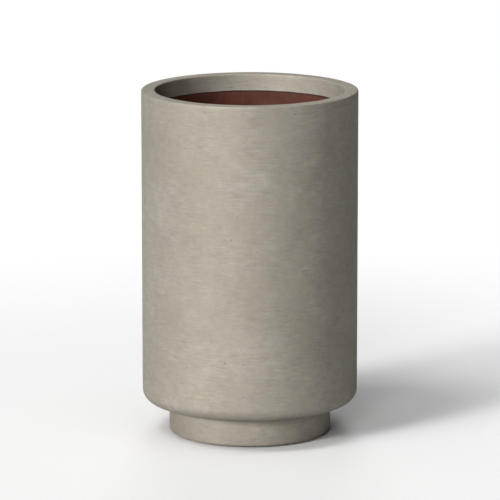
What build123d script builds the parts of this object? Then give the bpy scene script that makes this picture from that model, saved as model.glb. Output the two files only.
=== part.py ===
from build123d import *
from math import radians, tan
import os

os.makedirs("parts", exist_ok=True)

# Round concrete floor planter that stands on a recessed round foot.
# Lengths are in millimetres. The origin is on the floor, under the centre, with +Z up.

# Overall size
planter_height = 611.0
body_radius = 190.0
body_underside = 56.5

# Cast body
rim_width = 24.5
wall_draft = 1.0
floor_thickness = 32.0
lower_edge_round = 20.5
rim_outer_round = 3.0
rim_inner_round = 2.5
inner_corner_round = 10.0

# Foot ring and the mortar bed that bonds it to the body
foot_radius = 142.5
foot_wall = 38.0
foot_draft = 3.0
foot_lower_round = 4.0
foot_upper_round = 1.5
foot_inner_chamfer = 3.0
spigot_width = 14.0
spigot_height = 6.0
bed_thickness = 3.0
bed_side_gap = 1.5
bed_setback = 2.0

# Waterproof lining
lining_thickness = 1.5
lining_below_rim = 29.0

# Drain fitting: flanged sleeve, seal and ring nut
bore_radius = 12.5
sleeve_wall = 2.5
flange_radius = 26.0
flange_thickness = 3.0
flange_edge_round = 1.0
seal_thickness = 1.5
seal_setback = 1.0
sump_clearance = 2.0
hole_clearance = 0.5
thread_clearance = 0.2
nut_radius = 24.0
nut_height = 8.0
nut_collar_height = 2.5
nut_collar_overhang = 3.0
nut_notch_radius = 3.0
nut_notch_count = 8
sleeve_tail = 4.0
sleeve_end_chamfer = 1.0

# Rubber plug, pushed into the sleeve from below
plug_clearance = 0.3
plug_top_gap = 2.0
plug_top_chamfer = 1.0
rib_depth = 1.2
rib_height = 3.0
rib_count = 4
plug_head_radius = 18.0
plug_head_thickness = 5.0
plug_neck_radius = 6.0
plug_neck_length = 6.0
plug_knob_radius = 10.0
plug_knob_thickness = 7.0
plug_edge_round = 1.5

# Strainer that stands over the drain
screen_radius = 27.0
screen_thickness = 3.0
screen_edge_round = 1.0
screen_rest_gap = 0.3
stud_height = 1.5
stud_radius = 1.4
stud_count = 5
collar_wall = 1.8
collar_reach = 1.2
slot_width = 2.4
slot_rim_margin = 2.6
slot_collar_margin = 0.8
slot_inner_length = 6.0
slot_inner_count = 6
slot_outer_length = 9.0
slot_outer_count = 20

# Rubber pads under the foot
pad_radius = 8.0
pad_proud = 2.5
pad_sunk = 1.5
pad_clearance = 0.3
pad_count = 6
pad_edge_chamfer = 0.6

# Heights and radii that follow from the sizes above
rim_inner_radius = body_radius - rim_width
cavity_floor = body_underside + floor_thickness
lining_top = planter_height - lining_below_rim
foot_top = body_underside - bed_thickness
foot_inner_radius = foot_radius - foot_wall
foot_mouth_radius = foot_inner_radius + (foot_top - pad_proud) * tan(radians(foot_draft))
spigot_radius = foot_inner_radius + spigot_width
spigot_top = foot_top + spigot_height
recess_radius = spigot_radius + bed_side_gap
recess_ceiling = body_underside + spigot_height
barrel_radius = bore_radius + sleeve_wall
drain_hole_radius = barrel_radius + hole_clearance
sump_radius = flange_radius + sump_clearance + lining_thickness
sump_floor = cavity_floor - seal_thickness - flange_thickness
seal_underside = sump_floor + lining_thickness
flange_underside = seal_underside + seal_thickness
flange_top = flange_underside + flange_thickness
sleeve_end = recess_ceiling - nut_height - sleeve_tail
pad_ring_radius = (foot_mouth_radius + foot_inner_chamfer + foot_radius - foot_lower_round) / 2


def cavity_section(inset, top):
    """Half section of the planting cavity, drawn in from its walls and floor by the inset."""
    floor = cavity_floor + inset
    floor_radius = rim_inner_radius - (planter_height - floor) * tan(radians(wall_draft)) - inset
    top_radius = rim_inner_radius - (planter_height - top) * tan(radians(wall_draft)) - inset
    with BuildSketch(Plane.XZ) as section:
        with BuildLine():
            Polyline((0, floor), (floor_radius, floor), (top_radius, top), (0, top), close=True)
        make_face()
        corner = section.vertices().group_by(Axis.Y)[0].sort_by(Axis.X)[-1]
        fillet(corner, radius=inner_corner_round - inset)
    return section.sketch


# Cast body: drafted cavity, round lower edge, a seat for the drain and a recess for the foot
with BuildPart() as body_shell:
    with BuildSketch(Plane.XY.offset(body_underside)):
        Circle(body_radius)
    extrude(amount=planter_height - body_underside)
    fillet(body_shell.edges().group_by(Axis.Z)[0], radius=lower_edge_round)
    fillet(body_shell.edges().group_by(Axis.Z)[-1], radius=rim_outer_round)
    revolve(cavity_section(0, planter_height), axis=Axis.Z, mode=Mode.SUBTRACT)
    rim_inner_edge = body_shell.edges().group_by(Axis.Z)[-1].sort_by(SortBy.RADIUS)[0]
    fillet(rim_inner_edge, radius=rim_inner_round)
    with BuildSketch(Plane.XY.offset(cavity_floor)):
        Circle(sump_radius)
    extrude(amount=sump_floor - cavity_floor, mode=Mode.SUBTRACT)
    with BuildSketch(Plane.XY.offset(body_underside)):
        Circle(recess_radius)
    extrude(amount=spigot_height, mode=Mode.SUBTRACT)
    with BuildSketch(Plane.XY.offset(cavity_floor)):
        Circle(drain_hole_radius)
    extrude(amount=-floor_thickness, mode=Mode.SUBTRACT)
body_shell.part.label = "body_shell"
export_step(body_shell.part, "parts/body_shell.step")

# Foot ring: drafted inside, with a spigot on top and sockets for the pads below
with BuildPart() as foot_ring:
    with BuildSketch(Plane.XZ):
        with BuildLine():
            Polyline(
                (foot_mouth_radius, pad_proud),
                (foot_radius, pad_proud),
                (foot_radius, foot_top),
                (spigot_radius, foot_top),
                (spigot_radius, spigot_top),
                (foot_inner_radius, spigot_top),
                (foot_inner_radius, foot_top),
                close=True,
            )
        make_face()
    revolve(axis=Axis.Z)
    shoulder_edges = foot_ring.edges().filter_by_position(Axis.Z, foot_top, foot_top)
    fillet(shoulder_edges.sort_by(SortBy.RADIUS)[-1], radius=foot_upper_round)
    fillet(foot_ring.edges().group_by(Axis.Z)[0].sort_by(SortBy.RADIUS)[-1], radius=foot_lower_round)
    chamfer(foot_ring.edges().group_by(Axis.Z)[0].sort_by(SortBy.RADIUS)[0], length=foot_inner_chamfer)
    with BuildSketch(Plane.XY.offset(pad_proud)):
        with PolarLocations(pad_ring_radius, pad_count):
            Circle(pad_radius + pad_clearance)
    extrude(amount=pad_sunk, mode=Mode.SUBTRACT)
foot_ring.part.label = "foot_ring"
export_step(foot_ring.part, "parts/foot_ring.step")

# Mortar bed: fills the stepped joint between the foot's spigot and the recess in the body
with BuildPart() as bond_bed:
    with BuildSketch(Plane.XZ):
        with BuildLine():
            Polyline(
                (foot_inner_radius, spigot_top),
                (spigot_radius, spigot_top),
                (spigot_radius, foot_top),
                (foot_radius - bed_setback, foot_top),
                (foot_radius - bed_setback, body_underside),
                (recess_radius, body_underside),
                (recess_radius, recess_ceiling),
                (foot_inner_radius, recess_ceiling),
                close=True,
            )
        make_face()
    revolve(axis=Axis.Z)
bond_bed.part.label = "bond_bed"
export_step(bond_bed.part, "parts/bond_bed.step")

# Waterproof lining: a skin on the wall, the floor and the seat of the drain
with BuildPart() as waterproof_lining:
    revolve(cavity_section(0, lining_top), axis=Axis.Z)
    with BuildSketch(Plane.XY.offset(cavity_floor)):
        Circle(sump_radius)
    extrude(amount=sump_floor - cavity_floor)
    revolve(cavity_section(lining_thickness, lining_top), axis=Axis.Z, mode=Mode.SUBTRACT)
    with BuildSketch(Plane.XY.offset(seal_underside)):
        Circle(sump_radius - lining_thickness)
    extrude(amount=flange_top - seal_underside, mode=Mode.SUBTRACT)
    with BuildSketch(Plane.XY.offset(sump_floor)):
        Circle(drain_hole_radius)
    extrude(amount=lining_thickness, mode=Mode.SUBTRACT)
waterproof_lining.part.label = "waterproof_lining"
export_step(waterproof_lining.part, "parts/waterproof_lining.step")

# Flat rubber seal that the flange presses on the lining
with BuildPart() as flange_seal:
    with BuildSketch(Plane.XY.offset(seal_underside)):
        Circle(flange_radius - seal_setback)
        Circle(barrel_radius + thread_clearance, mode=Mode.SUBTRACT)
    extrude(amount=seal_thickness)
flange_seal.part.label = "flange_seal"
export_step(flange_seal.part, "parts/flange_seal.step")

# Flanged sleeve through the floor
with BuildPart() as drain_sleeve:
    with BuildSketch(Plane.XY.offset(flange_underside)):
        Circle(flange_radius)
    extrude(amount=flange_thickness)
    fillet(drain_sleeve.edges().group_by(Axis.Z)[-1], radius=flange_edge_round)
    with BuildSketch(Plane.XY.offset(flange_underside)):
        Circle(barrel_radius)
    extrude(amount=sleeve_end - flange_underside)
    chamfer(drain_sleeve.edges().group_by(Axis.Z)[0], length=sleeve_end_chamfer)
    with BuildSketch(Plane.XY.offset(flange_top)):
        Circle(bore_radius)
    extrude(amount=sleeve_end - flange_top, mode=Mode.SUBTRACT)
drain_sleeve.part.label = "drain_sleeve"
export_step(drain_sleeve.part, "parts/drain_sleeve.step")

# Ring nut with finger notches, drawn up against the underside of the floor
with BuildPart() as sleeve_nut:
    with BuildSketch(Plane.XY.offset(recess_ceiling)):
        Circle(nut_radius + nut_collar_overhang)
    extrude(amount=-nut_collar_height)
    with BuildSketch(Plane.XY.offset(recess_ceiling - nut_collar_height)):
        Circle(nut_radius)
        with PolarLocations(nut_radius, nut_notch_count):
            Circle(nut_notch_radius, mode=Mode.SUBTRACT)
    extrude(amount=nut_collar_height - nut_height)
    with BuildSketch(Plane.XY.offset(recess_ceiling)):
        Circle(barrel_radius + thread_clearance)
    extrude(amount=-nut_height, mode=Mode.SUBTRACT)
sleeve_nut.part.label = "sleeve_nut"
export_step(sleeve_nut.part, "parts/sleeve_nut.step")

# Plug: ribbed stem in the sleeve, a head under the sleeve's end and a knob to pull
rib_radius = bore_radius - plug_clearance
core_radius = rib_radius - rib_depth
plug_top = flange_top - plug_top_gap
head_top = sleeve_end - plug_clearance
rib_pitch = (plug_top - head_top) / rib_count
with BuildPart() as drain_plug:
    with BuildSketch(Plane.XY.offset(head_top)):
        Circle(core_radius)
    extrude(amount=plug_top - head_top)
    chamfer(drain_plug.edges().group_by(Axis.Z)[-1], length=plug_top_chamfer)
    for rib in range(rib_count):
        rib_foot = head_top + (rib + 0.5) * rib_pitch - rib_height / 2
        with BuildSketch(Plane.XZ):
            with BuildLine():
                Polyline(
                    (0, rib_foot),
                    (rib_radius, rib_foot),
                    (core_radius, rib_foot + rib_height),
                    (0, rib_foot + rib_height),
                    close=True,
                )
            make_face()
        revolve(axis=Axis.Z)
    with BuildSketch(Plane.XY.offset(head_top)):
        Circle(plug_head_radius)
    extrude(amount=-plug_head_thickness)
    head_rims = drain_plug.edges().filter_by(GeomType.CIRCLE).sort_by(SortBy.RADIUS)[-2:]
    fillet(head_rims, radius=plug_edge_round)
    neck_top = head_top - plug_head_thickness
    with BuildSketch(Plane.XY.offset(neck_top)):
        Circle(plug_neck_radius)
    extrude(amount=-plug_neck_length)
    with BuildSketch(Plane.XY.offset(neck_top - plug_neck_length)):
        Circle(plug_knob_radius)
    extrude(amount=-plug_knob_thickness)
    fillet(drain_plug.edges().group_by(Axis.Z)[0], radius=plug_edge_round)
drain_plug.part.label = "drain_plug"
export_step(drain_plug.part, "parts/drain_plug.step")

# Strainer: slotted disc that stands on the flange on studs between its slots, centred by a collar in the bore
disc_underside = flange_top + screen_rest_gap + stud_height
collar_radius = bore_radius - plug_clearance
slot_outer_centre = screen_radius - slot_rim_margin - slot_outer_length / 2
slot_inner_centre = collar_radius - collar_wall - slot_collar_margin - slot_inner_length / 2
with BuildPart() as drain_screen:
    with BuildSketch(Plane.XY.offset(disc_underside)):
        Circle(screen_radius)
        with PolarLocations(slot_inner_centre, slot_inner_count):
            SlotOverall(slot_inner_length, slot_width, mode=Mode.SUBTRACT)
        with PolarLocations(slot_outer_centre, slot_outer_count):
            SlotOverall(slot_outer_length, slot_width, mode=Mode.SUBTRACT)
    extrude(amount=screen_thickness)
    top_circles = drain_screen.edges().group_by(Axis.Z)[-1].filter_by(GeomType.CIRCLE)
    fillet(top_circles.sort_by(SortBy.RADIUS)[-1], radius=screen_edge_round)
    with BuildSketch(Plane.XY.offset(disc_underside)):
        with PolarLocations(slot_outer_centre, stud_count, start_angle=180 / slot_outer_count):
            Circle(stud_radius)
    extrude(amount=-stud_height)
    with BuildSketch(Plane.XY.offset(disc_underside)):
        Circle(collar_radius)
        Circle(collar_radius - collar_wall, mode=Mode.SUBTRACT)
    extrude(amount=flange_top - collar_reach - disc_underside)
drain_screen.part.label = "drain_screen"
export_step(drain_screen.part, "parts/drain_screen.step")

# Round rubber pads, seated in the sockets under the foot
with BuildPart() as floor_pads:
    with BuildSketch(Plane.XY):
        with PolarLocations(pad_ring_radius, pad_count):
            Circle(pad_radius)
    extrude(amount=pad_proud + pad_sunk)
    chamfer(floor_pads.edges().group_by(Axis.Z)[0], length=pad_edge_chamfer)
floor_pads.part.label = "floor_pads"
export_step(floor_pads.part, "parts/floor_pads.step")
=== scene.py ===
import bpy
import math
import random
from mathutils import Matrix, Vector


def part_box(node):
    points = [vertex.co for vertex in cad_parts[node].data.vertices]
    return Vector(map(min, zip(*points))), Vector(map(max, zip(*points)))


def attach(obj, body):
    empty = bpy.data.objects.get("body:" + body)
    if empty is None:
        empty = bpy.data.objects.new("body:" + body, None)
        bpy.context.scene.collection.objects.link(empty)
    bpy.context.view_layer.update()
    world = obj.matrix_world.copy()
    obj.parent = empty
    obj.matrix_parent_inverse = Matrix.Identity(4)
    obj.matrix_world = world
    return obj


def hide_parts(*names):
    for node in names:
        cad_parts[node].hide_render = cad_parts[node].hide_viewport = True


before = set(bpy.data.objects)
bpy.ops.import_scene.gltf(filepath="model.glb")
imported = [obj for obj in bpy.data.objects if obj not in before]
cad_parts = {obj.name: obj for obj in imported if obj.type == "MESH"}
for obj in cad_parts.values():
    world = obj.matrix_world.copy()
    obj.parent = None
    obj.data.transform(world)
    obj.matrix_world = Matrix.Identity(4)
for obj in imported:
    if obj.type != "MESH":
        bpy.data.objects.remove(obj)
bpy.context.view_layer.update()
print("frame loaded")


# Shader helpers

noiseSpan = (0.3, 0.7)
fullRange = (0.0, 1.0)


def hexColour(code):
    channels = [int(code[i:i + 2], 16) / 255 for i in (1, 3, 5)]
    linear = [c / 12.92 if c <= 0.04045 else ((c + 0.055) / 1.055) ** 2.4 for c in channels]
    return (*linear, 1.0)


def addNode(tree, kind, settings=None, links=None):
    # a setting is one of the node's own, or else the value of the input with that name or number
    node = tree.nodes.new(kind)
    for name, value in (settings or {}).items():
        if isinstance(name, str) and hasattr(node, name):
            setattr(node, name, value)
        else:
            node.inputs[name].default_value = value
    for name, source in (links or {}).items():
        tree.links.new(source, node.inputs[name])
    return node


def newMaterial(name):
    material = bpy.data.materials.new(name)
    material.use_nodes = True
    tree = material.node_tree
    tree.nodes.clear()
    output = tree.nodes.new("ShaderNodeOutputMaterial")
    return material, tree, output


def shadeWith(tree, output, settings, links):
    shader = addNode(tree, "ShaderNodeBsdfPrincipled", settings, links)
    tree.links.new(shader.outputs["BSDF"], output.inputs["Surface"])


def coverWith(piece, material):
    piece.data.materials.clear()
    piece.data.materials.append(material)


def objectPlace(tree):
    return addNode(tree, "ShaderNodeTexCoord").outputs["Object"]


def perMetre(millimetres):
    # a texture's scale for features of this size, on object coordinates in metres
    return 1000 / millimetres


def noise(tree, place, pattern):
    # marks as wide as the pattern says, and as high as it says where it gives a height
    if "height" in pattern:
        stretch = (1, 1, pattern["width"] / pattern["height"])
        place = addNode(tree, "ShaderNodeMapping", {"Scale": stretch}, {"Vector": place}).outputs["Vector"]
    settings = {
        "Scale": perMetre(pattern["width"]),
        "Detail": pattern["detail"],
        "Roughness": pattern.get("roughness", 0.5),
    }
    return addNode(tree, "ShaderNodeTexNoise", settings, {"Vector": place}).outputs["Fac"]


def ramp(tree, value, span, reach=fullRange):
    # the span of the value is drawn out or narrowed to the reach, and cut off at its ends
    settings = {"From Min": span[0], "From Max": span[1], "To Min": reach[0], "To Max": reach[1]}
    return addNode(tree, "ShaderNodeMapRange", settings, {"Value": value}).outputs["Result"]


def combine(tree, operation, first, second):
    return addNode(tree, "ShaderNodeMath", {"operation": operation}, {0: first, 1: second}).outputs["Value"]


def mixColours(tree, share, first, second):
    # the second colour comes in with the share, and a colour is a hex code or another node's output
    settings, links = {"data_type": "RGBA"}, {0: share}
    for slot, colour in ((6, first), (7, second)):
        if isinstance(colour, str):
            settings[slot] = hexColour(colour)
        else:
            links[slot] = colour
    return addNode(tree, "ShaderNodeMix", settings, links).outputs[2]


def addRelief(tree, height, relief, normal=None, sunk=False):
    settings = {"Strength": relief["strength"], "Distance": relief["depth"], "invert": sunk}
    links = {"Height": height}
    if normal is not None:
        links["Normal"] = normal
    return addNode(tree, "ShaderNodeBump", settings, links).outputs["Normal"]


# Mesh helpers, with lengths in metres and areas in square metres

mergeDistance = 1e-6
ratioTolerance = 1e-9
waveDetail = 2
smallestHoledFace = 1.2e-5
holeStages = (0.6, 0.4)
# a face is upright or level by the height part of its normal
uprightLimit = 0.1
levelLimit = 0.99


def pickOnly(piece):
    bpy.ops.object.select_all(action="DESELECT")
    piece.select_set(True)
    bpy.context.view_layer.objects.active = piece


def editMesh(piece, steps):
    # runs editing steps that start in object mode with no face selected
    pickOnly(piece)
    bpy.ops.object.mode_set(mode="EDIT")
    bpy.ops.mesh.select_mode(type="FACE")
    bpy.ops.mesh.select_all(action="DESELECT")
    bpy.ops.object.mode_set(mode="OBJECT")
    steps(piece)
    bpy.ops.object.mode_set(mode="OBJECT")


def arcRings(centreRadius, centreHeight, size, startAngle, endAngle, steps):
    rings = []
    for i in range(steps + 1):
        angle = math.radians(startAngle + (endAngle - startAngle) * i / steps)
        rings.append((centreRadius + size * math.cos(angle), centreHeight + size * math.sin(angle)))
    return rings


def straightRings(start, end, spacing):
    # the rings between two rings, without either of them
    length = math.hypot(end[0] - start[0], end[1] - start[1])
    steps = max(1, round(length / spacing))
    return [(start[0] + (end[0] - start[0]) * i / steps, start[1] + (end[1] - start[1]) * i / steps)
            for i in range(1, steps)]


def turnedPiece(name, rings, segments):
    # a circle drawn through its rings, as on a lathe, and closed back on the first one
    bpy.ops.object.select_all(action="DESELECT")
    radius, height = rings[0]
    bpy.ops.mesh.primitive_circle_add(vertices=segments, radius=radius, location=(0, 0, height))
    piece = bpy.context.object
    piece.name = name
    piece.data.name = name
    bpy.ops.object.transform_apply(location=True, rotation=True, scale=True)
    bpy.ops.object.mode_set(mode="EDIT")
    bpy.ops.mesh.select_all(action="SELECT")
    for nextRadius, nextHeight in rings[1:] + rings[:1]:
        bpy.ops.mesh.extrude_edges_move(TRANSFORM_OT_translate={"value": (0, 0, nextHeight - height)})
        ratio = nextRadius / radius
        if abs(ratio - 1) > ratioTolerance:
            bpy.ops.transform.resize(value=(ratio, ratio, 1), center_override=(0, 0, nextHeight))
        radius, height = nextRadius, nextHeight
    bpy.ops.mesh.select_all(action="SELECT")
    bpy.ops.mesh.remove_doubles(threshold=mergeDistance)
    bpy.ops.mesh.normals_make_consistent(inside=False)
    bpy.ops.object.mode_set(mode="OBJECT")
    return piece


def unevenSkin(piece, waves, direction, keep):
    # presses the chosen points in by up to the waves' depth, so nothing leaves the solid's own bounds
    group = piece.vertex_groups.new(name="skin")
    group.add([v.index for v in piece.data.vertices if keep(v.co)], 1.0, "ADD")
    pickOnly(piece)
    bpy.ops.object.modifier_add(type="DISPLACE")
    modifier = piece.modifiers[-1]
    texture = bpy.data.textures.new(piece.name + "Waves", type="CLOUDS")
    texture.noise_scale = waves["size"]
    texture.noise_depth = waveDetail
    modifier.texture = texture
    modifier.texture_coords = "LOCAL"
    modifier.direction = direction
    modifier.vertex_group = group.name
    modifier.mid_level = 1.0
    modifier.strength = waves["depth"]
    bpy.ops.object.modifier_apply(modifier=modifier.name)
    piece.vertex_groups.clear()
    bpy.data.textures.remove(texture)


def airHoles(piece, holes, allowed, seed):
    # small open holes that air bubbles leave in cast concrete, each sunk into one face of the skin
    draw = random.Random(seed)
    for hole in holes:
        faces = [f.index for f in piece.data.polygons
                 if len(f.vertices) == 4 and f.area > smallestHoledFace and allowed(f.center, f.normal)]
        chosen = draw.sample(faces, hole["count"])

        def openHoles(piece):
            for i in chosen:
                piece.data.polygons[i].select = True
            bpy.ops.object.mode_set(mode="EDIT")
            bpy.ops.mesh.inset(thickness=hole["margin"], use_individual=True)
            bpy.ops.mesh.bevel(offset=hole["corner"], segments=1, affect="VERTICES")
            bpy.ops.mesh.select_all(action="DESELECT")
            bpy.ops.object.mode_set(mode="OBJECT")
            # the bevel made the mouths of the holes the only faces with eight corners
            for f in piece.data.polygons:
                f.select = len(f.vertices) == 8
            bpy.ops.object.mode_set(mode="EDIT")
            for share in holeStages:
                bpy.ops.mesh.inset(thickness=hole["wall"], depth=-hole["depth"] * share, use_individual=True)
            bpy.ops.mesh.poke()

        editMesh(piece, openHoles)


def finishPiece(piece, material, node, sharpAngle):
    pickOnly(piece)
    bpy.ops.object.shade_smooth_by_angle(angle=math.radians(sharpAngle))
    coverWith(piece, material)
    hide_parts(node)
    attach(piece, "planter")


# Camera, from the perspective of the rim and the foot in the picture

cameraView = {
    "distance": 7.328,
    "pitch": 11.61,
    "aimHeight": 0.3240,
    "focalPixels": 4162.9,
    "axisPixel": 249.81,
    "framePixels": 500,
    "sensorWidth": 36.0,
    "clipEnd": 60,
}


def placeCamera(view):
    pitch = math.radians(view["pitch"])
    back = view["distance"] * math.cos(pitch)
    height = view["aimHeight"] + view["distance"] * math.sin(pitch)
    bpy.ops.object.camera_add(location=(0, -back, height), rotation=(math.pi / 2 - pitch, 0, 0))
    camera = bpy.context.object
    camera.name = "pictureCamera"
    camera.data.sensor_width = view["sensorWidth"]
    camera.data.lens = view["focalPixels"] / view["framePixels"] * view["sensorWidth"]
    camera.data.shift_x = (view["framePixels"] / 2 - view["axisPixel"]) / view["framePixels"]
    camera.data.clip_end = view["clipEnd"]
    bpy.context.scene.camera = camera


placeCamera(cameraView)
print("camera placed")


# Cast concrete, rubbed down level and sealed, with widths and heights in millimetres and depths in metres

concreteLook = {
    "paste": "#a8a298",
    "darkPaste": "#a09a8d",
    "palePaste": "#b1aba0",
    "warmPaste": "#a8a091",
    # the pin holes' dark colour is painted shade inside the pits
    "pinHoleShade": "#625c51",
    "clouds": {"width": 110, "detail": 4.0, "roughness": 0.55, "span": (0.35, 0.65)},
    "mottle": {"width": 26, "detail": 4.0, "roughness": 0.6, "reach": (0.0, 0.7)},
    "streaks": {"width": 70, "height": 5, "detail": 3.0, "roughness": 0.6},
    "streakSpan": (0.45, 0.7),
    "streakReach": (0.0, 0.7),
    "rubMarks": {"width": 18, "height": 3.2, "detail": 3.0, "roughness": 0.6, "shades": (0.89, 1.1)},
    "rubPatches": {"width": 40, "detail": 2.0, "span": (0.4, 0.6), "reach": (0.35, 1.0)},
    "flecks": {"width": 15, "detail": 3.0, "roughness": 0.6, "shades": (0.95, 1.05)},
    "grain": {"width": 1.8, "detail": 2.0, "shades": (0.965, 1.035)},
    "pinHoles": {"spacing": 11, "width": 1.2, "core": 0.5, "share": 0.1},
    "mottleRelief": {"strength": 0.25, "depth": 0.0006},
    "rubRelief": {"strength": 0.35, "depth": 0.0003},
    "grainRelief": {"strength": 0.3, "depth": 0.0002},
    "pinHoleRelief": {"strength": 0.8, "depth": 0.0006},
    "roughness": (0.58, 0.7),
    "burnish": 0.4,
    "specular": 0.2,
    "specularTint": (0.2, 0.2, 0.2, 1),
}


def pinHoleDots(tree, place, dots):
    # one small dot, soft outside its core, in some of the cells
    cells = addNode(tree, "ShaderNodeTexVoronoi", {"Scale": perMetre(dots["spacing"])}, {"Vector": place})
    reach = dots["width"] / dots["spacing"]
    dot = ramp(tree, cells.outputs["Distance"], (reach, reach * dots["core"]))
    luck = addNode(tree, "ShaderNodeSeparateColor", links={"Color": cells.outputs["Color"]}).outputs["Red"]
    some = addNode(tree, "ShaderNodeMath", {"operation": "LESS_THAN", 1: dots["share"]}, {0: luck})
    return combine(tree, "MULTIPLY", dot, some.outputs["Value"])


def concreteShade(tree, place, rubMarks, grain, look):
    # rub marks in patches, flecks and grain make the paste darker and paler by a few parts in a hundred
    rubPatches = ramp(tree, noise(tree, place, look["rubPatches"]), look["rubPatches"]["span"],
                      look["rubPatches"]["reach"])
    rubbed = ramp(tree, rubMarks, noiseSpan, look["rubMarks"]["shades"])
    flecked = ramp(tree, noise(tree, place, look["flecks"]), noiseSpan, look["flecks"]["shades"])
    grained = ramp(tree, grain, noiseSpan, look["grain"]["shades"])
    patchy = addNode(tree, "ShaderNodeMix", {"data_type": "FLOAT", 2: 1.0}, {0: rubPatches, 3: rubbed})
    shade = combine(tree, "MULTIPLY", patchy.outputs[0], flecked)
    return combine(tree, "MULTIPLY", shade, grained)


def castConcrete(look):
    material, tree, output = newMaterial("castConcrete")
    place = objectPlace(tree)
    mottle = noise(tree, place, look["mottle"])
    rubMarks = noise(tree, place, look["rubMarks"])
    grain = noise(tree, place, look["grain"])
    pinHoles = pinHoleDots(tree, place, look["pinHoles"])

    cloudShare = ramp(tree, noise(tree, place, look["clouds"]), look["clouds"]["span"])
    colour = mixColours(tree, cloudShare, look["darkPaste"], look["palePaste"])
    colour = mixColours(tree, ramp(tree, mottle, noiseSpan, look["mottle"]["reach"]), colour, look["paste"])
    streakShare = ramp(tree, noise(tree, place, look["streaks"]), look["streakSpan"], look["streakReach"])
    colour = mixColours(tree, streakShare, colour, look["warmPaste"])
    shade = concreteShade(tree, place, rubMarks, grain, look)
    shaded = addNode(tree, "ShaderNodeVectorMath", {"operation": "SCALE"}, {0: colour, "Scale": shade})
    # the pin holes are drawn darker than the paste: painted shade inside the pits, over their real sunk
    # relief
    colour = mixColours(tree, pinHoles, shaded.outputs["Vector"], look["pinHoleShade"])

    normal = addRelief(tree, mottle, look["mottleRelief"])
    normal = addRelief(tree, rubMarks, look["rubRelief"], normal)
    normal = addRelief(tree, grain, look["grainRelief"], normal)
    normal = addRelief(tree, pinHoles, look["pinHoleRelief"], normal, sunk=True)
    roughness = ramp(tree, mottle, noiseSpan, look["roughness"])
    # the sealer leaves a broad sheen that takes the colour of the paste and doesn't flare at a glancing angle
    shadeWith(
        tree, output,
        {
            "Metallic": look["burnish"],
            "Specular IOR Level": look["specular"],
            "Specular Tint": look["specularTint"],
        },
        {"Base Color": colour, "Roughness": roughness, "Normal": normal},
    )
    return material


concrete = castConcrete(concreteLook)


# Cement mortar, pressed into the joint by hand: a shade darker than the concrete, sandy and dull

mortarLook = {
    "paste": "#8d867a",
    "sand": "#a39a89",
    "grain": {"width": 1.2, "detail": 3.0, "span": (0.4, 0.65)},
    "lumps": {"width": 7, "detail": 3.0},
    "lumpRelief": {"strength": 0.5, "depth": 0.0008},
    "grainRelief": {"strength": 0.6, "depth": 0.0004},
    "roughness": 0.9,
}


def cementMortar(look):
    material, tree, output = newMaterial("cementMortar")
    place = objectPlace(tree)
    grain = noise(tree, place, look["grain"])
    colour = mixColours(tree, ramp(tree, grain, look["grain"]["span"]), look["paste"], look["sand"])
    normal = addRelief(tree, noise(tree, place, look["lumps"]), look["lumpRelief"])
    normal = addRelief(tree, grain, look["grainRelief"], normal)
    shadeWith(tree, output, {"Roughness": look["roughness"]}, {"Base Color": colour, "Normal": normal})
    return material


mortar = cementMortar(mortarLook)


# Brushed bitumen-polymer coat, coloured with red oxide, with upright brush marks and a darker top edge

liningLook = {
    "coat": "#532b1f",
    "thinCoat": "#5e352a",
    "thickCoat": "#422016",
    "edgeCoat": "#2a120c",
    "brushMarks": {"width": 3, "height": 70, "detail": 2.0, "span": (0.35, 0.75)},
    "patches": {"width": 45, "detail": 3.0, "span": (0.4, 0.75), "reach": (0.0, 0.8)},
    "edgeStart": 0.0034,
    "edgeFull": 0.0016,
    "brushRelief": {"strength": 0.5, "depth": 0.0004},
    "roughness": (0.6, 0.75),
    "specular": 0.3,
}
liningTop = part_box("waterproof_lining")[1].z


def redOxideCoat(look):
    material, tree, output = newMaterial("redOxideCoat")
    place = objectPlace(tree)
    brushMarks = noise(tree, place, look["brushMarks"])
    patches = noise(tree, place, look["patches"])
    thinShare = ramp(tree, brushMarks, look["brushMarks"]["span"])
    colour = mixColours(tree, thinShare, look["coat"], look["thinCoat"])
    thickShare = ramp(tree, patches, look["patches"]["span"], look["patches"]["reach"])
    colour = mixColours(tree, thickShare, colour, look["thickCoat"])
    # the last few millimetres below the top of the coat are drawn darker
    height = addNode(tree, "ShaderNodeSeparateXYZ", links={"Vector": place}).outputs["Z"]
    edgeShare = ramp(tree, height, (liningTop - look["edgeStart"], liningTop - look["edgeFull"]))
    colour = mixColours(tree, edgeShare, colour, look["edgeCoat"])
    roughness = ramp(tree, patches, noiseSpan, look["roughness"])
    normal = addRelief(tree, brushMarks, look["brushRelief"])
    shadeWith(tree, output, {"Specular IOR Level": look["specular"]},
              {"Base Color": colour, "Roughness": roughness, "Normal": normal})
    return material


lining = redOxideCoat(liningLook)


# Moulded skins of the drain: polypropylene with a fine spark-eroded grain, and matt EPDM rubber

polypropyleneLook = {
    "colour": "#26272a",
    "paleColour": "#36383b",
    "grain": {"width": 0.5, "detail": 2.0},
    "haze": {"width": 14, "detail": 4.0, "span": (0.45, 0.75)},
    "relief": {"strength": 0.4, "depth": 0.00008},
    "roughness": (0.38, 0.52),
    "refraction": 1.49,
}
rubberLook = {
    "colour": "#1d1c1b",
    "paleColour": "#34322f",
    "grain": {"width": 0.9, "detail": 2.0},
    "haze": {"width": 14, "detail": 4.0, "span": (0.45, 0.75)},
    "relief": {"strength": 0.4, "depth": 0.00015},
    "roughness": (0.68, 0.85),
    "refraction": 1.49,
}


def mouldedSkin(name, look):
    material, tree, output = newMaterial(name)
    place = objectPlace(tree)
    haze = noise(tree, place, look["haze"])
    colour = mixColours(tree, ramp(tree, haze, look["haze"]["span"]), look["colour"], look["paleColour"])
    roughness = ramp(tree, haze, noiseSpan, look["roughness"])
    normal = addRelief(tree, noise(tree, place, look["grain"]), look["relief"])
    shadeWith(tree, output, {"IOR": look["refraction"]},
              {"Base Color": colour, "Roughness": roughness, "Normal": normal})
    return material


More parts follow.
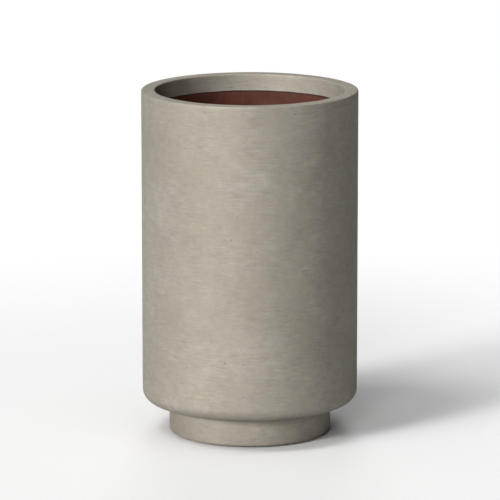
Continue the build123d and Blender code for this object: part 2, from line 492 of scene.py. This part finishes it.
polypropylene = mouldedSkin("mouldedPolypropylene", polypropyleneLook)
rubber = mouldedSkin("mouldedRubber", rubberLook)
print("materials made")


# Cast pot: outer wall, rim, the bare band inside the rim, and the hidden cavity, recess and drain hole

shellSize = {
    "rimWidth": 0.0245,
    "wallDraft": 1.0,
    "floorThickness": 0.032,
    "lowerEdgeRound": 0.0205,
    "rimOuterRound": 0.003,
    "rimInnerRound": 0.0025,
    "innerCornerRound": 0.010,
    "recessRadius": 0.120,
    "recessDepth": 0.006,
    "sumpRadius": 0.0295,
    "sumpDepth": 0.0045,
    "holeRadius": 0.0155,
    "bareBand": 0.029,
    "segments": 264,
    "ringSpacing": 0.0045,
    "floorCoarseness": 4,
    "cavityCoarseness": 5,
    "undersideCoarseness": 2,
    "innerCornerSteps": 6,
    "rimInnerSteps": 6,
    "rimOuterSteps": 7,
    "lowerEdgeSteps": 14,
    "waves": {"size": 0.11, "depth": 0.0005},
    "holes": [
        {"count": 4, "margin": 0.00115, "corner": 0.0006, "wall": 0.00028, "depth": 0.0010},
        {"count": 12, "margin": 0.0014, "corner": 0.0004, "wall": 0.0002, "depth": 0.0007},
        {"count": 30, "margin": 0.0017, "corner": 0.0003, "wall": 0.00014, "depth": 0.0005},
    ],
    "seed": 11,
    "sharpAngle": 40,
}
shellLow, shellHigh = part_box("body_shell")


def cavityWall(size, height):
    # radius of the drafted cavity wall at a height
    drop = shellHigh.z - height
    return shellHigh.x - size["rimWidth"] - drop * math.tan(math.radians(size["wallDraft"]))


def cavityCorner(size, floor):
    # radius at which the round between the cavity's floor and wall has its centre
    draft = math.radians(size["wallDraft"])
    return cavityWall(size, floor) + size["innerCornerRound"] * (math.tan(draft) - 1 / math.cos(draft))


def shellRings(size):
    radius, top, underside = shellHigh.x, shellHigh.z, shellLow.z
    floor = underside + size["floorThickness"]
    draft, spacing = size["wallDraft"], size["ringSpacing"]
    outerRound, innerRound = size["rimOuterRound"], size["rimInnerRound"]
    corner, edge = size["innerCornerRound"], size["lowerEdgeRound"]

    # from the drain hole out along the cavity's floor and up its wall to the rim
    sumpFloor = floor - size["sumpDepth"]
    rings = [(size["holeRadius"], sumpFloor), (size["sumpRadius"], sumpFloor), (size["sumpRadius"], floor)]
    centre = cavityCorner(size, floor)
    rings += straightRings(rings[-1], (centre, floor), size["floorCoarseness"] * spacing)
    cornerRings = arcRings(centre, floor + corner, corner, -90, -draft, size["innerCornerSteps"])
    bandFoot = (cavityWall(size, top - size["bareBand"]), top - size["bareBand"])
    rings += cornerRings
    rings += straightRings(cornerRings[-1], bandFoot, size["cavityCoarseness"] * spacing) + [bandFoot]
    rimRings = arcRings(cavityWall(size, top) + innerRound, top - innerRound, innerRound, 180 - draft, 90,
                        size["rimInnerSteps"])
    rings += straightRings(bandFoot, rimRings[0], spacing) + rimRings

    # over the rim, down the outer wall and in along the underside to the drain hole
    outerRings = arcRings(radius - outerRound, top - outerRound, outerRound, 90, 0, size["rimOuterSteps"])
    rings += straightRings(rimRings[-1], outerRings[0], spacing) + outerRings
    edgeRings = arcRings(radius - edge, underside + edge, edge, 0, -90, size["lowerEdgeSteps"])
    rings += straightRings(outerRings[-1], edgeRings[0], spacing) + edgeRings
    recess, recessTop = size["recessRadius"], underside + size["recessDepth"]
    rings += straightRings(edgeRings[-1], (recess, underside), size["undersideCoarseness"] * spacing)
    rings += [(recess, underside), (recess, recessTop), (size["holeRadius"], recessTop)]
    return rings


def makeShell(size):
    shell = turnedPiece("concreteShell", shellRings(size), size["segments"])
    bandFoot = shellHigh.z - size["bareBand"]
    outerLimit = shellHigh.x - size["rimWidth"] + 2 * size["rimInnerRound"]

    def isSkin(point):
        return point.z > bandFoot or math.hypot(point.x, point.y) > outerLimit

    def isOpenFace(centre, normal):
        outward = normal.x * centre.x + normal.y * centre.y
        wall = outward > 0 and abs(normal.z) < uprightLimit
        rimTop = normal.z > levelLimit and centre.z > shellHigh.z - size["rimOuterRound"]
        return wall and math.hypot(centre.x, centre.y) > outerLimit or rimTop

    unevenSkin(shell, size["waves"], "NORMAL", isSkin)
    airHoles(shell, size["holes"], isOpenFace, size["seed"])
    finishPiece(shell, concrete, "body_shell", size["sharpAngle"])


makeShell(shellSize)
print("pot made")


# Foot ring: a plain cast ring with a softened lower edge, and sockets for the pads on its underside

footSize = {
    "wall": 0.038,
    "draft": 3.0,
    "lowerRound": 0.004,
    "upperRound": 0.0015,
    "innerChamfer": 0.003,
    "spigotWidth": 0.014,
    "spigotHeight": 0.006,
    "socketRadius": 0.0083,
    "socketClearance": 0.0003,
    "socketDepth": 0.0015,
    "socketCount": 6,
    "socketSegments": 48,
    "segments": 216,
    "ringSpacing": 0.0042,
    "hiddenCoarseness": 2,
    "upperSteps": 4,
    "lowerSteps": 7,
    "waves": {"size": 0.07, "depth": 0.0004},
    "holes": [
        {"count": 3, "margin": 0.0009, "corner": 0.0007, "wall": 0.0003, "depth": 0.0010},
        {"count": 9, "margin": 0.0013, "corner": 0.0005, "wall": 0.00022, "depth": 0.0007},
    ],
    "seed": 5,
    "sharpAngle": 40,
}
footLow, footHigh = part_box("foot_ring")


def footRings(size):
    radius, bottom = footHigh.x, footLow.z
    shoulder = footHigh.z - size["spigotHeight"]
    inner = radius - size["wall"]
    spigot = inner + size["spigotWidth"]
    slope = math.tan(math.radians(size["draft"]))
    mouth = inner + (shoulder - bottom) * slope
    chamfer, lower, upper = size["innerChamfer"], size["lowerRound"], size["upperRound"]
    spacing = size["ringSpacing"]
    hiddenSpacing = size["hiddenCoarseness"] * spacing
    shoulderRings = arcRings(radius - upper, shoulder - upper, upper, 90, 0, size["upperSteps"])
    lowerRings = arcRings(radius - lower, bottom + lower, lower, 0, -90, size["lowerSteps"])
    rings = [(inner, footHigh.z), (spigot, footHigh.z), (spigot, shoulder)]
    rings += straightRings(rings[-1], shoulderRings[0], hiddenSpacing) + shoulderRings
    rings += straightRings(shoulderRings[-1], lowerRings[0], spacing) + lowerRings
    rings += straightRings(rings[-1], (mouth + chamfer, bottom), hiddenSpacing)
    rings += [(mouth + chamfer, bottom), (mouth - chamfer * slope, bottom + chamfer)]
    rings += straightRings(rings[-1], (inner, shoulder), hiddenSpacing) + [(inner, shoulder)]
    return rings


def cutSockets(foot, size):
    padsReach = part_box("floor_pads")[1].x
    ringRadius = padsReach - (size["socketRadius"] - size["socketClearance"])
    bpy.ops.object.select_all(action="DESELECT")
    height = footLow.z - size["socketDepth"]
    cutters = []
    for i in range(size["socketCount"]):
        angle = 2 * math.pi * i / size["socketCount"]
        bpy.ops.mesh.primitive_cylinder_add(
            vertices=size["socketSegments"],
            radius=size["socketRadius"],
            depth=4 * size["socketDepth"],
            location=(ringRadius * math.cos(angle), ringRadius * math.sin(angle), height),
        )
        cutters.append(bpy.context.object)
    for cutter in cutters:
        cutter.select_set(True)
    bpy.ops.object.join()
    cutter = bpy.context.object
    pickOnly(foot)
    bpy.ops.object.modifier_add(type="BOOLEAN")
    modifier = foot.modifiers[-1]
    modifier.operation = "DIFFERENCE"
    modifier.object = cutter
    bpy.ops.object.modifier_apply(modifier=modifier.name)
    bpy.data.objects.remove(cutter)


def makeFoot(size):
    foot = turnedPiece("concreteFoot", footRings(size), size["segments"])
    outerLimit = footHigh.x - 2 * size["lowerRound"]

    def isOuter(point):
        return math.hypot(point.x, point.y) > outerLimit

    def isWall(centre, normal):
        return isOuter(centre) and abs(normal.z) < uprightLimit

    unevenSkin(foot, size["waves"], "NORMAL", isOuter)
    airHoles(foot, size["holes"], isWall, size["seed"])
    cutSockets(foot, size)
    finishPiece(foot, concrete, "foot_ring", size["sharpAngle"])


makeFoot(footSize)
print("foot made")


# Mortar bed: fills the stepped joint, with a hand-struck outer face

bedSize = {
    "thickness": 0.003,
    "spigotRadius": 0.1185,
    "innerRadius": 0.1045,
    "segments": 300,
    "ringSpacing": 0.0006,
    "struckDepth": 0.001,
    "waves": {"size": 0.012, "depth": 0.0009},
    "sharpAngle": 40,
}
bedLow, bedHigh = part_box("bond_bed")


def bedRings(size):
    outer, shoulder, underside = bedHigh.x, bedLow.z, bedLow.z + size["thickness"]
    inner, spigot, recess = size["innerRadius"], size["spigotRadius"], shellSize["recessRadius"]
    spigotTop = shoulder + footSize["spigotHeight"]
    rings = [(inner, spigotTop), (spigot, spigotTop), (spigot, shoulder), (outer, shoulder)]
    rings += straightRings((outer, shoulder), (outer, underside), size["ringSpacing"])
    rings += [(outer, underside), (recess, underside), (recess, bedHigh.z), (inner, bedHigh.z)]
    return rings


def makeBed(size):
    bed = turnedPiece("mortarBed", bedRings(size), size["segments"])

    def isStruckFace(point):
        return math.hypot(point.x, point.y) > bedHigh.x - size["struckDepth"]

    unevenSkin(bed, size["waves"], "NORMAL", isStruckFace)
    finishPiece(bed, mortar, "bond_bed", size["sharpAngle"])


makeBed(bedSize)
print("mortar bed made")


# Waterproof coat on the cavity wall, the floor and the drain seat

coatSize = {
    "thickness": 0.0015,
    "edgeRound": 0.0005,
    "segments": 240,
    "ringSpacing": 0.008,
    "floorCoarseness": 2,
    "backCoarseness": 3,
    "backCornerSteps": 6,
    "faceCornerSteps": 8,
    "edgeSteps": 3,
    "brushedFrom": 0.13,
    "edgeWaves": {"size": 0.03, "depth": 0.0011},
    "brushWaves": {"size": 0.018, "depth": 0.0003},
    "sharpAngle": 50,
}


def coatRings(size, shell):
    floor = shellLow.z + shell["floorThickness"]
    draft, corner = shell["wallDraft"], shell["innerCornerRound"]
    thickness, spacing, edge = size["thickness"], size["ringSpacing"], size["edgeRound"]
    centre = cavityCorner(shell, floor)
    back = arcRings(centre, floor + corner, corner, -draft, -90, size["backCornerSteps"])
    face = arcRings(centre, floor + corner, corner - thickness, -90, -draft, size["faceCornerSteps"])
    wallTop = cavityWall(shell, liningTop)
    lip = arcRings(wallTop - thickness + edge, liningTop - edge, edge, 180, 90, size["edgeSteps"])
    hole, sump, sumpFloor = shell["holeRadius"], shell["sumpRadius"], floor - shell["sumpDepth"]
    rings = [(hole, sumpFloor), (hole, sumpFloor + thickness)]
    rings += [(sump - thickness, sumpFloor + thickness), (sump - thickness, floor + thickness)]
    rings += straightRings(rings[-1], face[0], size["floorCoarseness"] * spacing) + face
    rings += straightRings(face[-1], lip[0], spacing) + lip + [(wallTop, liningTop)]
    rings += straightRings((wallTop, liningTop), back[0], size["backCoarseness"] * spacing) + back
    rings += [(sump, floor), (sump, sumpFloor)]
    return rings


def makeCoat(size):
    coat = turnedPiece("liningCoat", coatRings(size, shellSize), size["segments"])

    def isEdge(point):
        return point.z > liningTop - 2 * size["edgeRound"]

    def isFace(point):
        inFront = math.hypot(point.x, point.y) < cavityWall(shellSize, point.z) - size["thickness"] * 0.5
        return inFront and size["brushedFrom"] < point.z < liningTop - 3 * size["edgeRound"]

    unevenSkin(coat, size["edgeWaves"], "Z", isEdge)
    unevenSkin(coat, size["brushWaves"], "NORMAL", isFace)
    finishPiece(coat, lining, "waterproof_lining", size["sharpAngle"])


makeCoat(coatSize)
print("lining made")


# Drain fitting and pads keep their solids and get their finish

for nodeName in ("drain_sleeve", "sleeve_nut", "drain_screen"):
    coverWith(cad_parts[nodeName], polypropylene)
for nodeName in ("drain_plug", "flange_seal", "floor_pads"):
    coverWith(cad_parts[nodeName], rubber)
print("drain and pads finished")


# Studio floor: pale paper that the lamps light, and that fades to plain white away from the pot

floorLook = {
    "halfWidth": 12.0,
    "paper": "#ffffff",
    "paperBounce": "#808080",
    "whiteFrom": 0.45,
    "whiteTo": 1.7,
}


def studioPaper(look):
    material, tree, output = newMaterial("studioPaper")
    # the paper is white where the camera sees it, also in a sheen, and greyer where it only throws light back
    rays = addNode(tree, "ShaderNodeLightPath").outputs
    seen = combine(tree, "MAXIMUM", rays["Is Camera Ray"], rays["Is Glossy Ray"])
    seen = combine(tree, "MAXIMUM", seen, rays["Is Transmission Ray"])
    colour = mixColours(tree, seen, look["paperBounce"], look["paper"])
    away = addNode(tree, "ShaderNodeVectorMath", {"operation": "LENGTH"}, {0: objectPlace(tree)})
    fade = addNode(
        tree, "ShaderNodeMapRange",
        {"interpolation_type": "SMOOTHSTEP", "From Min": look["whiteFrom"], "From Max": look["whiteTo"]},
        {"Value": away.outputs["Value"]},
    )
    share = combine(tree, "MULTIPLY", fade.outputs["Result"], seen)
    lit = addNode(tree, "ShaderNodeBsdfDiffuse", links={"Color": colour})
    white = addNode(tree, "ShaderNodeEmission", {"Strength": 1.0})
    links = {0: share, 1: lit.outputs["BSDF"], 2: white.outputs["Emission"]}
    mixed = addNode(tree, "ShaderNodeMixShader", links=links)
    tree.links.new(mixed.outputs["Shader"], output.inputs["Surface"])
    return material


def makeFloor(look):
    bpy.ops.object.select_all(action="DESELECT")
    bpy.ops.mesh.primitive_plane_add(size=2 * look["halfWidth"], location=(0, 0, 0))
    floor = bpy.context.object
    floor.name = "studioFloor"
    coverWith(floor, studioPaper(look))


makeFloor(floorLook)


# Studio light: soft lamps from the left of the camera and in front, and weaker ones overhead and behind

lampHeight = 3
lampPlan = {
    "keySoftbox": {"azimuth": -46, "elevation": 18, "angle": 14, "strength": 2.28},
    "frontSoftbox": {"azimuth": -12, "elevation": 18, "angle": 20, "strength": 1.05},
    "highSoftbox": {"azimuth": -50, "elevation": 60, "angle": 20, "strength": 0.9},
    "backSoftbox": {"azimuth": 180, "elevation": 38, "angle": 20, "strength": 0.42},
    "topSoftbox": {"azimuth": 0, "elevation": 90, "angle": 54, "strength": 0.72},
}


def studioWorld():
    # plain white to the camera, and no light to anything else
    world = bpy.data.worlds.new("studioWorld")
    bpy.context.scene.world = world
    world.use_nodes = True
    tree = world.node_tree
    rays = addNode(tree, "ShaderNodeLightPath")
    background = tree.nodes["Background"]
    background.inputs["Color"].default_value = (1, 1, 1, 1)
    tree.links.new(rays.outputs["Is Camera Ray"], background.inputs["Strength"])


def addLamp(name, lamp):
    bpy.ops.object.light_add(type="SUN", location=(0, 0, lampHeight))
    sun = bpy.context.object
    sun.name = name
    sun.rotation_euler = (math.radians(90 - lamp["elevation"]), 0, math.radians(lamp["azimuth"]))
    sun.data.angle = math.radians(lamp["angle"])
    sun.data.energy = lamp["strength"]


studioWorld()
for lampName, lamp in lampPlan.items():
    addLamp(lampName, lamp)
bpy.context.scene.view_settings.view_transform = "Standard"
print("studio made")
